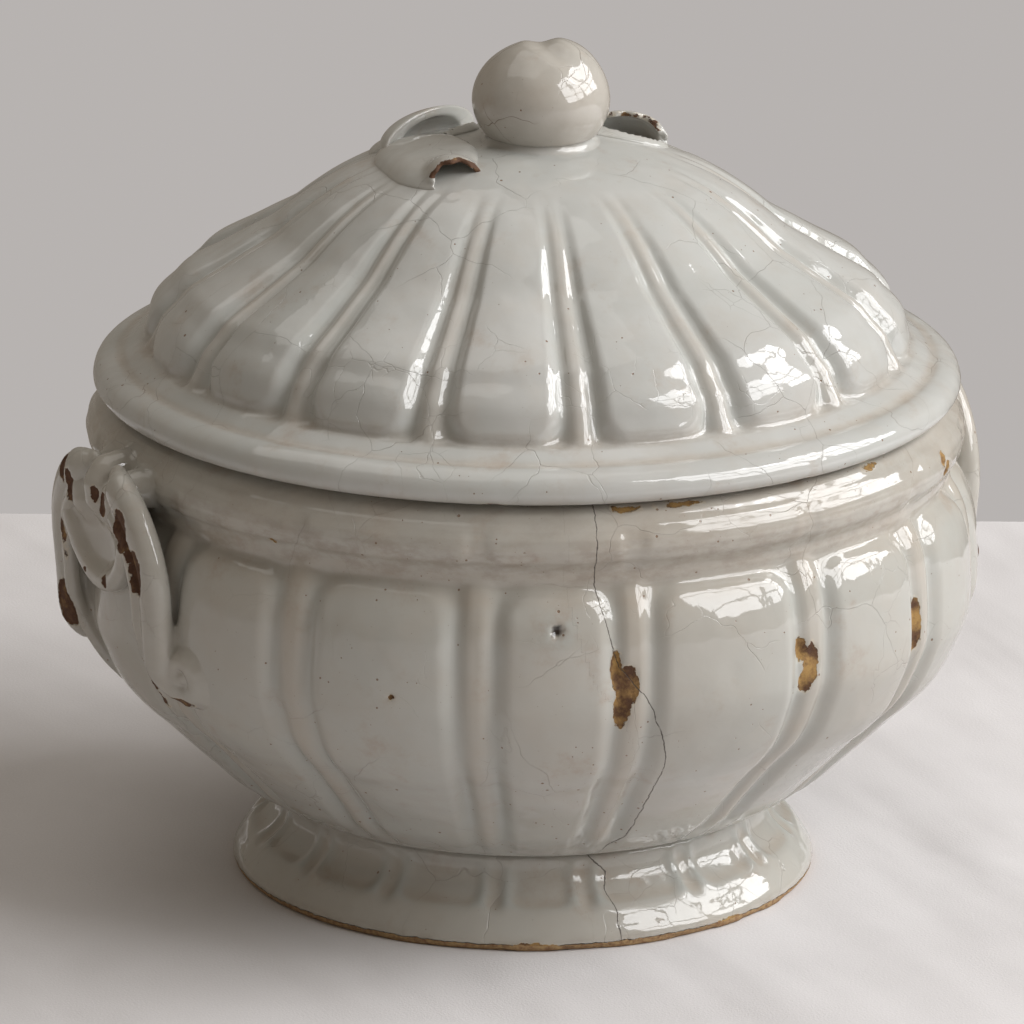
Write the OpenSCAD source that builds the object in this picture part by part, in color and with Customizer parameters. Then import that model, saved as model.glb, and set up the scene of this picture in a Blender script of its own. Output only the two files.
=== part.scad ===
// Round lidded soup tureen in tin-glazed earthenware.
// Millimetres, +Z up. The origin is the centre of the foot's resting face,
// and the two handles stand on the X axis.

/* [Bowl] */
// Height of the bowl's flat top edge above the table
rim_z = 155; // [150:0.5:158]
// Outer radius of the bowl at its top edge
rim_r = 131; // [128:0.5:132]
// Radius of the mouth
mouth_r = 121; // [119.8:0.1:122]
// Widest radius of the belly
belly_r = 141; // [138:0.5:144]
// Height of the widest part of the belly
belly_z = 97; // [92:1:102]
// Radius of the flat underside of the bowl, where the foot joins
base_r = 76; // [72:0.5:78]
// Thickness of the bowl's floor
floor_t = 8; // [6:0.5:10]

/* [Foot] */
// Radius of the foot at the table
foot_r = 91.7; // [88:0.1:94]
// Height of the foot ring
foot_h = 26; // [24:0.5:28]
// Inner radius of the foot's resting face
foot_inner_r = 81; // [78:0.5:84]

/* [Lid] */
// Radius of the lid at its rolled edge
lid_r = 135; // [133:0.1:136]
// Gap between the lid's seat and the bowl's top edge
seat_gap = 0.3; // [0.2:0.05:0.5]
// Radius of the foot of the dome, where the ribs start
dome_r = 118.6; // [117:0.1:120]
// Height of the flat pad on top of the lid, which carries the knob
pad_z = 233.5; // [231:0.5:235]
// Thickness of the lid's wall
lid_wall = 6.5; // [5:0.5:8]
// Gap round the locating ring, between its wall and the mouth
ring_gap = 1.5; // [1:0.1:2.5]
// Height of the locating ring below the bowl's top edge
ring_drop = 9; // [7:0.5:11]

/* [Ribs] */
// Number of ribs round the bowl and round the lid
ribs = 16; // [12:1:18]
// Width of the raised band between two grooves, on the bowl
rib_w = 9; // [8:0.5:11]
// Width of the raised band between two grooves, on the lid
lid_rib_w = 6.5; // [5:0.5:8]
// Width of a groove
groove_w = 4; // [3:0.5:5]
// Depth of a groove
groove_d = 3; // [2:0.1:3.5]
// Turn of the lid's ribs from those of the bowl, in degrees
lid_turn = -7.5; // [-11:0.5:11]

/* [Handles] */
// Distance of the left handle's arch from the axis, at the height of its centre
left_bow = 142; // [141:0.1:144]
// Distance of the right handle's arch from the axis, at the height of its centre
right_bow = 139; // [138.5:0.1:144]
// Radius of the arch, to the middle of its band
arch_r = 31.5; // [29:0.5:33]
// Height of the arch's centre
arch_z = 114; // [112:1:117]
// Outward lean of the left arch, in degrees
left_lean = 7; // [2:0.5:9]
// Outward lean of the right arch, in degrees
right_lean = 2; // [1:0.5:9]
// Width of the arch's band
strap_w = 12; // [10:0.5:13]
// Thickness of the arch's band
strap_t = 9; // [8:0.5:10]
// Radius of the dished shell inside the arch
shell_r = 24; // [22:0.5:26]
// Thickness of the shell
shell_t = 4; // [3:0.5:5]
// Radius of the flutes over the top of the shell
flute_r = 6.2; // [5.5:0.1:7]

/* [Knob] */
// Radius of the fruit
fruit_r = 21.4; // [18:0.1:24]
// Half of the height of the fruit
fruit_half_h = 18.2; // [16:0.1:20]
// Height of the fruit's widest part
fruit_z = 247; // [245:0.5:249]
// Distance of the knob from the lid's axis, since it was luted on by hand
knob_off = [3.2, -1.6];

/* [Leaves] */
// Thickness of a leaf
leaf_t = 2.6; // [2:0.1:3.5]
// Radius of a leaf's curled edge
curl_r = 5.5; // [4.5:0.5:6.5]

/* [Hidden] */
$fn = 96;
// Colours
glaze = [0.80, 0.80, 0.77];
clay = [0.55, 0.38, 0.24];
// Roundness of outlines: chords between two named points of an outline
chords = 3;
// Overlap where one clay piece is pressed into another
lute = 1;
// Depth of a solid's cut past the surface it opens
past = 1;
rib_step = 360 / ribs;
foot_flare_z = 10;
seat_z = rim_z + seat_gap;
ring_out_r = mouth_r - ring_gap;
ring_wall = 6.5;
ring_in_r = ring_out_r - ring_wall;
recess_r = ring_out_r + 0.8;
recess_z = 162;
neck_r = 17;
neck_fillet = 3;

// One point of a smooth curve between b and c, with neighbours a and d
function between(a, b, c, d, t) =
    0.5 * (2 * b + (c - a) * t + (2 * a - 5 * b + 4 * c - d) * t * t
    + (3 * b - 3 * c + d - a) * t * t * t);

// A smooth curve through the given points
function smooth(p, n = chords) = concat(
    [for (i = [0 : len(p) - 2]) for (j = [0 : n - 1])
        between(p[max(i - 1, 0)], p[i], p[i + 1], p[min(i + 2, len(p) - 1)], j / n)],
    [p[len(p) - 1]]);

// The same points moved in by d along the radius
function inward(p, d) = [for (q = p) [q[0] - d, q[1]]];

function backwards(p) = [for (i = [len(p) - 1 : -1 : 0]) p[i]];

// Outside of the bowl, from the foot's joint up to the rim
bowl_out = smooth([
    [base_r, foot_h], [89, 29.8], [105, 44.8], [120, 60.6], [132, 72.5],
    [belly_r - 2.5, 85], [belly_r, belly_z], [belly_r - 1.2, 115],
    [136, 128], [133, 134], [136, 138.8], [137.2, 144], [134.5, 150], [rim_r, rim_z]
]);

// Inside of the bowl, from the floor's edge up to the mouth
bowl_in = smooth([
    [62, foot_h + floor_t], [84, 39.5], [99, 50], [113.5, 65], [124.5, 77],
    [131, 88], [133.7, 99], [132.2, 114], [127, 127], [122.5, 135], [mouth_r, 144]
]);

// Part of the bowl's outside that the ribs run along
bowl_ribbed = smooth([
    [92, 32.4], [105, 44.8], [120, 60.6], [132, 72.5],
    [belly_r - 2.5, 85], [belly_r, belly_z], [belly_r - 1.2, 115], [136.6, 126.5]
]);

// Outside of the lid, from the dome's foot up to the pad
lid_out = smooth([
    [dome_r + 2.4, 170.6], [dome_r - 1.4, 174.2], [113.9, 180.9], [105.9, 189.5],
    [95.5, 195.9], [79.5, 205.9], [67.2, 216.5], [55.7, 223.3], [35, 231], [22, pad_z]
]);

// Part of the lid's outside that the ribs run along
lid_ribbed = smooth([
    [dome_r - 0.6, 172.6], [113.9, 180.9], [105.9, 189.5], [95.5, 195.9],
    [79.5, 205.9], [67.2, 216.5]
]);

// The lid's rolled edge, from the seat up to the crease round the dome
lid_edge = smooth([
    [lid_r - 1.8, seat_z], [lid_r, 158], [lid_r - 0.4, 161.4], [lid_r - 4, 165.2],
    [lid_r - 8.5, 166.4]
]);

// Inside of the lid, from the recess up to the crown
lid_in = smooth([
    [ring_in_r, recess_z], [110.5, 172], [107.5, 179], [100, 185], [91, 190.2],
    [75, 199.6], [62.5, 210], [51, 216.6], [31, 224.2]
]);

// Solid of the bowl's outside, smaller by d, which pieces luted to it are cut by
module bowl_core(d) {
    rotate_extrude()
        polygon(concat([[0, foot_h]], inward(bowl_out, d), [[0, rim_z]]));
}

// Solid of the lid's outside, larger by d
module lid_core(d) {
    rotate_extrude()
        polygon(concat([[0, 170.6]], [for (q = lid_out) [q[0] + d / 3, q[1] + d]],
            [[0, pad_z + d]]));
}

// One groove along a rib: follows the curve at the given depth
module groove(curve, depth, offset_y) {
    top = curve[len(curve) - 1];
    low = curve[0];
    reach = 8;
    translate([0, offset_y + groove_w / 2, 0])
        rotate([90, 0, 0])
            linear_extrude(groove_w)
                polygon(concat(
                    [low],
                    [for (i = [1 : len(curve) - 2])
                        [curve[i][0] - depth(i / (len(curve) - 1)), curve[i][1]]],
                    [top, [top[0] + reach, top[1] + past]],
                    [for (i = [len(curve) - 2 : -1 : 1]) [curve[i][0] + reach, curve[i][1]]],
                    [[low[0] + reach, low[1] - past]]));
}

// The pair of grooves beside each rib, all the way round
module grooves(curve, band, turn, depth) {
    for (i = [0 : ribs - 1], side = [-1, 1])
        rotate([0, 0, turn + (i + 0.5) * rib_step])
            groove(curve, depth, side * (band + groove_w) / 2);
}

module bowl() {
    color(glaze)
        difference() {
            rotate_extrude()
                polygon(concat(
                    [[0, foot_h]], bowl_out, [[mouth_r, rim_z]], backwards(bowl_in),
                    [[0, foot_h + floor_t]]));
            grooves(bowl_ribbed, rib_w, 0, function (t) groove_d);
        }
}

module foot_ring() {
    color(clay)
        rotate_extrude()
            polygon(concat(
                [[foot_inner_r, 0], [foot_r - 1.2, 0]],
                smooth([[foot_r, 1.2], [foot_r, 3], [foot_r - 4, foot_flare_z],
                    [foot_r - 9.5, 14], [base_r + 2, 20], [base_r, foot_h]]),
                smooth([[base_r - 9, foot_h], [base_r - 8, 14], [foot_inner_r, 0]], 4)));
}

// Places its children in a handle's arch: x across, y up, z outwards from the bowl
module in_arch(bow, lean) {
    translate([bow, 0, arch_z])
        rotate([0, lean, 0])
            rotate([90, 0, 90])
                children();
}

// Section of the arch's band: an oval, wider across the arch than it is thick
module strap_section() {
    corners = 20;
    polygon([for (i = [0 : corners - 1])
        [strap_w / 2 * cos(i * 360 / corners), strap_t / 2 * sin(i * 360 / corners)]]);
}

// One arm of the arch: from under the shell's outer flute down to the belly
module strap_arm(bow, lean) {
    tucked = 56;
    straight = 23;
    toe_in = 4;
    in_arch(bow, lean)
        rotate_extrude(angle = tucked)
            translate([arch_r, 0])
                strap_section();
    translate([bow, arch_r, arch_z + lute])
        rotate([0, 180 + toe_in, 0])
            linear_extrude(straight)
                rotate([0, 0, 90])
                    strap_section();
}

// The ridge along an arm's inner side, running out down the belly
module strap_ridge() {
    top = [142.6, 25, 112];
    low = [133.6, 25, 76];
    top_r = 3.2;
    low_r = 1.6;
    translate(low)
        rotate([0, atan2(top[0] - low[0], top[2] - low[2]), 0]) {
            cylinder(norm(top - low), low_r, top_r, $fn = 48);
            sphere(low_r, $fn = 48);
        }
}

// The scroll beside an arm's end, lying flat on the belly
module scroll() {
    turn_r = 5.2;
    coil_r = 3.4;
    rotate([0, 0, 15.9])
        translate([139.4, 0, 89.5])
            rotate([0, 90, 0]) {
                rotate_extrude()
                    translate([turn_r, 0])
                        circle(coil_r, $fn = 40);
                sphere(coil_r + 0.2, $fn = 40);
            }
}

// One arm of a handle on the +X side, with its ridge and scroll
module strap(bow, lean) {
    color(glaze)
        difference() {
            union() {
                strap_arm(bow, lean);
                strap_ridge();
                scroll();
            }
            bowl_core(lute);
        }
}

// One of the shell's flutes, in the arch: up, over the top and back to the bowl
module flute(turn) {
    sunk = 2;
    low = 13;
    high = 23;
    bend_r = flute_r + 0.4;
    root = 10;
    rotate([0, 0, 90 + turn]) {
        translate([low, 0, -sunk])
            rotate([0, 90, 0])
                cylinder(high - low, flute_r - 2, flute_r, $fn = 40);
        translate([high, 0, -sunk - bend_r])
            rotate([90, 0, 0])
                rotate_extrude(angle = 90)
                    translate([bend_r, 0])
                        circle(flute_r, $fn = 40);
        translate([high + bend_r, 0, -sunk - bend_r - root])
            cylinder(root, flute_r, flute_r, $fn = 40);
    }
}

// The scalloped shell that fills a handle's arch, on the +X side
module shell(bow, lean) {
    dish_up = 16;
    dish_curve_r = 100;
    arch_inside = 28;
    lip_r = 3;
    fan = 27;
    color(glaze)
        difference() {
            in_arch(bow, lean) {
                // dished plate
                intersection() {
                    translate([0, dish_up, 0])
                        cylinder(4 * shell_t, shell_r, shell_r, center = true);
                    cylinder(4 * shell_t, arch_inside, arch_inside, center = true);
                    translate([0, dish_up, dish_curve_r])
                        difference() {
                            sphere(dish_curve_r + shell_t);
                            sphere(dish_curve_r);
                        }
                }
                // rounded lower lip
                translate([0, dish_up, 1])
                    rotate([0, 0, -150])
                        rotate_extrude(angle = 120)
                            translate([shell_r - lip_r, 0])
                                circle(lip_r, $fn = 40);
                for (side = [-1, 0, 1])
                    flute(side * fan);
            }
            bowl_core(lute);
        }
}

module lid() {
    color(glaze)
        difference() {
            rotate_extrude()
                polygon(concat(
                    [[recess_r, recess_z], [recess_r, seat_z]], lid_edge, lid_out,
                    [[0, pad_z], [0, pad_z - lid_wall - 1]], backwards(lid_in)));
            grooves(lid_ribbed, lid_rib_w, lid_turn, function (t) groove_d * (1 - 0.75 * t));
        }
}

module lid_locating_ring() {
    edge = 1.5;
    color(glaze)
        rotate_extrude()
            polygon([
                [ring_in_r, rim_z - ring_drop + edge], [ring_in_r + edge, rim_z - ring_drop],
                [ring_out_r - edge, rim_z - ring_drop], [ring_out_r, rim_z - ring_drop + edge],
                [ring_out_r, recess_z - seat_gap], [ring_in_r, recess_z - seat_gap]]);
}

// Filleted neck between the lid's pad and the fruit
module knob_collar() {
    neck_z = 236.2;
    color(glaze)
        translate([knob_off[0], knob_off[1], 0])
            rotate_extrude()
                polygon(concat(
                    [[0, pad_z]],
                    [for (a = [0 : 22.5 : 90])
                        [neck_r + neck_fillet * (1 - sin(a)), pad_z + (neck_z - pad_z) * (1 - cos(a))]],
                    [[0, neck_z]]));
}

module knob_fruit() {
    seat = 236.2;
    low = asin((seat - fruit_z) / fruit_half_h);
    color(glaze)
        translate([knob_off[0], knob_off[1], 0])
            rotate_extrude()
                polygon(concat(
                    [[0, seat]],
                    [for (i = [0 : 24])
                        let (a = low + (84 - low) * i / 24)
                            [fruit_r * cos(a), fruit_z + fruit_half_h * sin(a)]],
                    [[0, fruit_z + fruit_half_h - 1.6]]));
}

// A leaf pressed onto the lid: its outline is the overlap of two discs
module leaf_plate(direction, distance, length, width) {
    disc_r = (length * length / width + width) / 4;
    intersection() {
        difference() {
            lid_core(leaf_t);
            lid_core(0);
        }
        rotate([0, 0, direction])
            translate([distance, 0, pad_z - 30])
                intersection() {
                    translate([0, disc_r - width / 2, 0])
                        cylinder(60, disc_r, disc_r);
                    translate([0, width / 2 - disc_r, 0])
                        cylinder(60, disc_r, disc_r);
                }
    }
}

// A leaf's edge curled up and over: half of a tube, standing on the lid
module leaf_curl(direction, distance, height, turn, width) {
    rotate([0, 0, direction])
        translate([distance, 0, height])
            rotate([0, 0, turn])
                rotate([90, 0, 0])
                    rotate([0, 0, -20])
                        rotate_extrude(angle = 200)
                            translate([curl_r - leaf_t, -width / 2])
                                square([leaf_t, width]);
}

module leaf(direction, distance, length, width, curl_at, curl_z, curl_turn, curl_w) {
    collar_gap = 0.3;
    color(glaze)
        difference() {
            union() {
                leaf_plate(direction, distance, length, width);
                difference() {
                    leaf_curl(direction, curl_at, curl_z, curl_turn, curl_w);
                    lid_core(0);
                }
            }
            translate([knob_off[0], knob_off[1], pad_z - 10])
                cylinder(20, neck_r + neck_fillet + collar_gap, neck_r + neck_fillet + collar_gap);
        }
}

module leaf_front() { leaf(187, 34, 48, 40, 42, 228.5, 60, 17); }
module leaf_back() { leaf(119, 38, 40, 28, 43, 230.5, 20, 28); }
module leaf_right() { leaf(-2, 36, 40, 26, 42, 230.5, 0, 24); }

module left() {
    mirror([1, 0, 0])
        children();
}

module front() {
    mirror([0, 1, 0])
        children();
}

bowl();
foot_ring();
left() front() strap(left_bow, left_lean);  // left_handle_front_strap
left() strap(left_bow, left_lean);  // left_handle_back_strap
left() shell(left_bow, left_lean);  // left_handle_shell
front() strap(right_bow, right_lean);  // right_handle_front_strap
strap(right_bow, right_lean);  // right_handle_back_strap
shell(right_bow, right_lean);  // right_handle_shell
lid();
lid_locating_ring();
knob_collar();
knob_fruit();
leaf_front();
leaf_back();
leaf_right();
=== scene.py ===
"""White tin-glazed soup tureen: a ribbed bowl on a foot, two shell handles, and
a ribbed lid with a fruit knob and three leaves, built round the CAD frame.

Lengths are in millimetres until a mesh is made. z is up, the handles stand on
the x axis, and azimuths run from +x towards +y, in degrees."""

import math

import bpy
import numpy as np
from mathutils import Matrix, Vector


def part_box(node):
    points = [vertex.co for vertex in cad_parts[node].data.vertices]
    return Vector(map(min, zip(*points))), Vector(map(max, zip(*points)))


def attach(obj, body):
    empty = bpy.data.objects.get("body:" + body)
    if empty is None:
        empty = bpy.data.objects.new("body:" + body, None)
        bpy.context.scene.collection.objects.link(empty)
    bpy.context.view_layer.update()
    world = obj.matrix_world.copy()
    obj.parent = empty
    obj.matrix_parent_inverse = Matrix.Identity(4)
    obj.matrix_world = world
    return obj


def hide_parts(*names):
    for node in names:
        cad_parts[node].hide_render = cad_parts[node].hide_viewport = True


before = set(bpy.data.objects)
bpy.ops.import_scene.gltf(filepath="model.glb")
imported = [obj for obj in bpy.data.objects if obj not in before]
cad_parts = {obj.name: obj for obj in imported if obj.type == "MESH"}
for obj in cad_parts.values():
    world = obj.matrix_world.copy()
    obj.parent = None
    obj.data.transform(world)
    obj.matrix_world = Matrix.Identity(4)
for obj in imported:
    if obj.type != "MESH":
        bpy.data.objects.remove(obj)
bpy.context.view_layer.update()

MM = 0.001
RIBS = 16
RIB_STEP = 360 / RIBS
COLUMNS = 720  # mesh columns round every turned piece
LID_TURN = -7.5  # the lid sits this far round from the bowl's ribs, in degrees
SEAT_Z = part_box("lid")[0].z / MM
RIM_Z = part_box("bowl")[1].z / MM
FAR = 9.0  # what the damage fields hold where there is no damage, in mm


# ---------------------------------------------------------------- small tools
def ramp(low, high, x):
    """0 at low and 1 at high, smooth in between; low may be the larger."""
    t = np.clip((x - low) / (high - low), 0, 1)
    return t * t * (3 - 2 * t)


def union(a, b, k):
    """Smooth union of two distance fields."""
    h = np.clip(0.5 + 0.5 * (b - a) / k, 0, 1)
    return b + (a - b) * h - k * h * (1 - h)


def cut(a, b, k):
    """Smooth intersection of two distance fields."""
    return -union(-a, -b, k)


def smooth_line(points, spacing):
    """Points along the smooth line through an outline, about spacing apart."""
    p = np.array(points, float)
    p = np.vstack([2 * p[0] - p[1], p, 2 * p[-1] - p[-2]])
    line = []
    for a, b, c, d in zip(p, p[1:], p[2:], p[3:]):
        steps = [max(np.linalg.norm(v), 1e-6) ** 0.5 for v in (b - a, c - b, d - c)]
        ta, tb, tc, td = np.cumsum([0] + steps)
        n = max(1, round(float(np.linalg.norm(c - b)) / spacing))
        t = np.linspace(tb, tc, n, endpoint=False)[:, None]
        ab = a + (b - a) * (t - ta) / (tb - ta)
        bc = b + (c - b) * (t - tb) / (tc - tb)
        cd = c + (d - c) * (t - tc) / (td - tc)
        abc = ab + (bc - ab) * (t - ta) / (tc - ta)
        bcd = bc + (cd - bc) * (t - tb) / (td - tb)
        line.append(abc + (bcd - abc) * (t - tb) / (tc - tb))
    return np.vstack(line + [p[-2:-1]])


def closed_line(outline, spacing):
    """The same for an outline that ends where it starts."""
    return smooth_line(outline + [outline[0]], spacing)[:-1]


def turn_between(phi, at):
    """Angle from one azimuth to another, from -180 to 180."""
    return (phi - at + 180) % 360 - 180


def wobble(phi, z, size):
    """Slow unevenness of hand-thrown clay, in mm."""
    a = np.radians(phi)
    return size * (
        0.5 * np.sin(2 * a + 0.7) + 0.3 * np.sin(3 * a + z / 37 + 2.1)
        + 0.25 * np.sin(5 * a - z / 23 + 0.4) + 0.15 * np.sin(9 * a + z / 15)
    )


# ------------------------------------------------------------------- outlines
BOWL_OUT = [
    (60, 26), (74, 26), (79, 26.8), (84, 28.4), (89, 30.8), (94, 34), (99.2, 38.4),
    (105, 44.8), (112.3, 52.7), (120.1, 60.8), (127.1, 67.2), (132.8, 74), (138.2, 85),
    (140.6, 92), (141, 98), (140.7, 106), (139.8, 116), (138.6, 122), (136.6, 127),
    (134.2, 131), (133.2, 134), (133.8, 136.4), (135.7, 138.6), (137, 141.4),
    (137.2, 144.5), (136.2, 147.5), (134.4, 150.2), (132, 152.6), (129.8, 154.2),
    (127.5, RIM_Z),
]
BOWL_FLOOR = [(0.05, 26), (30, 26), (60, 26)]
BOWL_IN = [
    (124, RIM_Z), (121.6, 154), (121, 152), (121, 144), (122.5, 135), (127, 127),
    (132.2, 114), (133.7, 99), (131, 88), (124.5, 77), (113.5, 65), (99, 50), (84, 39.5),
    (62, 34), (30, 33.6), (0, 33.5),
]
FOOT = [
    (66, 26), (75.6, 26), (76.9, 25), (77.4, 22.5), (78.6, 18.5), (81.5, 15), (85, 12.2),
    (87.4, 9.9), (89.4, 7), (91, 4.6), (91.7, 2.9), (91.6, 1.3), (90.6, 0.2), (89.5, 0),
    (83, 0), (81.4, 0.5), (79.8, 2), (74, 10), (69, 17), (67, 22),
]
LID_OUT = [
    (121.5, SEAT_Z), (127.5, SEAT_Z), (131.4, SEAT_Z + 0.5), (134, SEAT_Z + 1.7),
    (135.2, SEAT_Z + 3.6),
    (135.1, 160.8), (134.2, 163), (131.8, 165), (128.8, 166.1), (126.6, 166.3),
    (124.5, 167.6), (121.5, 169.3), (119.6, 170.4), (118.6, 172), (117.2, 174.4),
    (116, 176.8), (113.9, 180.9), (109.4, 185.6), (105.9, 189.5), (102, 192.1),
    (95.5, 195.9), (87.7, 200.8), (79.5, 205.9), (74.2, 210.4), (67.2, 216),
    (62.4, 219.3), (55.7, 223.3), (45, 227.8), (35, 231), (22, 233.5), (0, 234.4),
]
LID_IN = [
    (0, 227), (31, 224.2), (51, 216.6), (62.5, 210), (75, 199.6), (91, 190.2), (100, 185),
    (107.5, 179), (110.5, 172), (113, 164), (114.5, 162), (119.6, 162), (120.3, 161),
    (120.3, 157), (120.6, SEAT_Z + 0.3),
]
LOCATING_RING = [
    (113, 147.8), (113.6, 146.6), (114.8, 146), (117.8, 146), (119, 146.6), (119.5, 147.8),
    (119.5, 155), (119.5, 161.6), (116, 161.6), (113, 161.6), (113, 155),
]

# The bowl's ribs are set by hand, so the visible ones stray a little, in degrees
RIB_STRAY = {-7: -0.6, -6: 1.0, -5: -1.7, -4: 0.8, -3: 0.6, 2: 0.9, 5: -1.1, 7: 0.5}

bowl_line = smooth_line(BOWL_OUT, 1.0)
bowl_floor_line = smooth_line(BOWL_FLOOR, 6)[:-1]
lid_line = smooth_line(LID_OUT, 1.0)


def bowl_radius(z):
    """Radius of the bowl's outside, before the ribs, at a height."""
    return np.interp(z, bowl_line[:, 1], bowl_line[:, 0])


def lid_height(r):
    """Height of the dome's outside, before the ribs, at a radius."""
    dome = lid_line[lid_line[:, 1] > 166][::-1]
    return np.interp(r, dome[:, 0], dome[:, 1])


# --------------------------------------------------------------------- relief
def nearest_rib(phi, r, turn, stray):
    """Angle to the nearest rib in degrees, and the arc to it in mm."""
    place = (phi - turn) / RIB_STEP
    index = np.floor(place)
    offset = (place - index - 0.5) * RIB_STEP
    for rib, degrees in stray.items():
        offset = offset - degrees * ((index - rib) % RIBS == 0)
    return offset, np.abs(np.radians(offset)) * r


def gadroons(arc, along, rib, groove, low, high, corner, soft):
    """(lobes, ribs): 1 on them and 0 in the grooves between, with soft edges."""
    side = arc - rib - groove
    ends = np.minimum(along - low, high - along)
    inside = corner - np.hypot(np.maximum(corner - side, 0), np.maximum(corner - ends, 0))
    lobes = ramp(-soft, soft, inside)
    past = np.maximum(np.maximum(low - 1 - along, along - high), 0)
    ribs = ramp(soft * 0.9, -soft * 0.9, np.hypot(arc, past) - rib)
    return lobes, ribs


def in_groove(lobes, ribs):
    return (1 - lobes) * (1 - ribs)


def lobe_swell(turned):
    """How far a lobe rounds out: 0 on the ribs and 1 midway between them."""
    return 1 - (turned / (RIB_STEP / 2) - np.sign(turned)) ** 2


def bowl_relief(phi, r, z):
    """Height of the bowl's ribbing above the plain outline, and its parts."""
    turned, arc = nearest_rib(phi, r, 0, RIB_STRAY)
    rib = np.interp(z, [30, 70, 110], [2.4, 3.2, 3.9])
    soft = np.interp(z, [40, 80], [2.6, 3.4])
    lobes, ribs = gadroons(arc, z, rib, 4.2, 10, 130.5, 9, soft)
    depth = np.interp(z, [28, 40, 60, 118, 131, 136, 150, 153],
                      [0.9, 1.8, 2.4, 2.5, 1.8, 0.5, 0.4, 0])
    swell = 2.1 * lobe_swell(turned) * ramp(28, 60, z) * ramp(136, 112, z)
    belly = swell - 0.7 - depth * in_groove(lobes, ribs)
    # on the neck only a shallow dent is left above each rib
    neck = -0.55 * ramp(5, 1.5, arc) * ramp(133, 138, z) * ramp(151, 146, z)
    above = ramp(131, 134, z)
    height = (belly * (1 - above) + neck * above) * ramp(27, 33, z)
    return height + wobble(phi, z, 0.5) * ramp(26, 40, z) * ramp(154, 140, z), lobes, ribs


def lid_relief(phi, r, z):
    """Height of the lid's ribbing above the plain outline, and its parts."""
    turned, arc = nearest_rib(phi, r, LID_TURN, {})
    rib = np.interp(r, [55, 118], [1.8, 3.3])
    groove = np.interp(r, [55, 118], [2.0, 3.4])
    soft = np.interp(r, [50, 118], [1.8, 3.0])
    lobes, ribs = gadroons(arc, z, rib, groove, 170.4, 240, 9.0, soft)
    depth = np.interp(r, [44, 60, 80, 100, 119], [0, 0.7, 1.6, 2.3, 2.6])
    swell = np.interp(r, [50, 80, 112], [0, 1.5, 3.0]) * np.sqrt(lobes)
    swell = swell * (0.35 + 0.65 * ramp(169, 181, z)) * lobe_swell(turned)
    dome = ramp(120.5, 118.2, r)
    height = (swell - depth * in_groove(lobes, ribs)) * dome
    return height + wobble(phi, z, 0.45) * ramp(158, 166, z), lobes * dome, ribs * dome


def foot_relief(phi, r, z):
    """Height of the ribbing that the bowl's ribs carry on down over the foot."""
    _, arc = nearest_rib(phi, r, 0, RIB_STRAY)
    lobes, ribs = gadroons(arc, z, 2.2, 2.8, 11.6, 30, 5, 2.2)
    part = ramp(9.5, 13.5, z) * ramp(25.5, 21, z) * ramp(72, 76, r)
    height = part * (0.6 - in_groove(lobes, ribs))
    return height + wobble(phi, z, 0.35) * ramp(1, 4, z) * ramp(26, 22, z), lobes * part, ribs * part


# --------------------------------------------------------------------- damage
# Chips on the bowl: azimuth, height, half width, half height
BOWL_CHIPS = [
    (-105.3, 107, 1.9, 6.0), (-103.8, 101, 3.4, 6.5), (-104.5, 93.5, 2.6, 7.0),
    (-79.9, 105, 1.8, 4.0), (-78.4, 100, 2.8, 6.5), (-79.2, 94.5, 2.2, 4.0),
    (-57.4, 100, 2.7, 9.5), (-103.5, 153.6, 4.2, 0.8), (-96.4, 153.8, 5.5, 0.6),
    (-64.4, 153.4, 3.6, 0.8), (-45.3, 141.5, 3.0, 3.4), (-46.8, 146, 2.0, 2.4),
    (-133.1, 97, 1.0, 1.0), (-150.9, 138.1, 1.2, 0.8), (38, 141, 4, 1.6),
    (112, 100, 2.6, 8), (151, 143, 5, 1.3), (71, 154, 7, 1.0),
]
FOOT_CHIPS = [
    (-114, 1.2, 11, 1.6), (-93, 0.6, 15, 1.5), (-72, 0.9, 7, 2.0), (-58, 0.4, 9, 1.2),
    (-140, 0.2, 9, 0.9), (20, 1, 10, 1.6), (75, 0.6, 13, 1.5), (140, 0.8, 8, 1.6),
]
LID_CHIPS = [(-78, 156, 3.4, 0.8), (-121, 156.2, 2.4, 0.6), (20, 157, 5, 1.2), (130, 156, 4, 1.0)]
# The pinhole through the glaze: azimuth and height, half size of its dip and of its dark middle
PINHOLE = (-112.7, 118.8)
PINHOLE_DIP, PINHOLE_DARK = 1.9, 2.0
# Cracks run through these azimuths and heights
BOWL_CRACK = [
    (-107.7, 154.7), (-107.7, 132.9), (-107.1, 124.9), (-105.9, 114.9), (-104.9, 107),
    (-101.3, 96.6), (-98.7, 81), (-98.1, 74.6), (-97.9, 57.6), (-97.9, 44.2), (-98.1, 37.3),
    (-100.4, 30),
]
FOOT_CRACK = [(-101.9, 26), (-97.3, 19.8), (-98.5, 15.4), (-97.1, 10.2), (-97.3, 3), (-97.2, 0)]


def chip_field(phi, r, z, chips):
    """Distance inside the nearest chip, in mm, and below 0 outside."""
    field = np.full(np.broadcast(phi, r, z).shape, -FAR)
    for at, height, half_w, half_h in chips:
        arc = np.radians(turn_between(phi, at)) * r
        inside = 1 - np.hypot(arc / half_w, (z - height) / half_h)
        field = np.maximum(field, inside * min(half_w, half_h) * 1.5)
    return field


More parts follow.
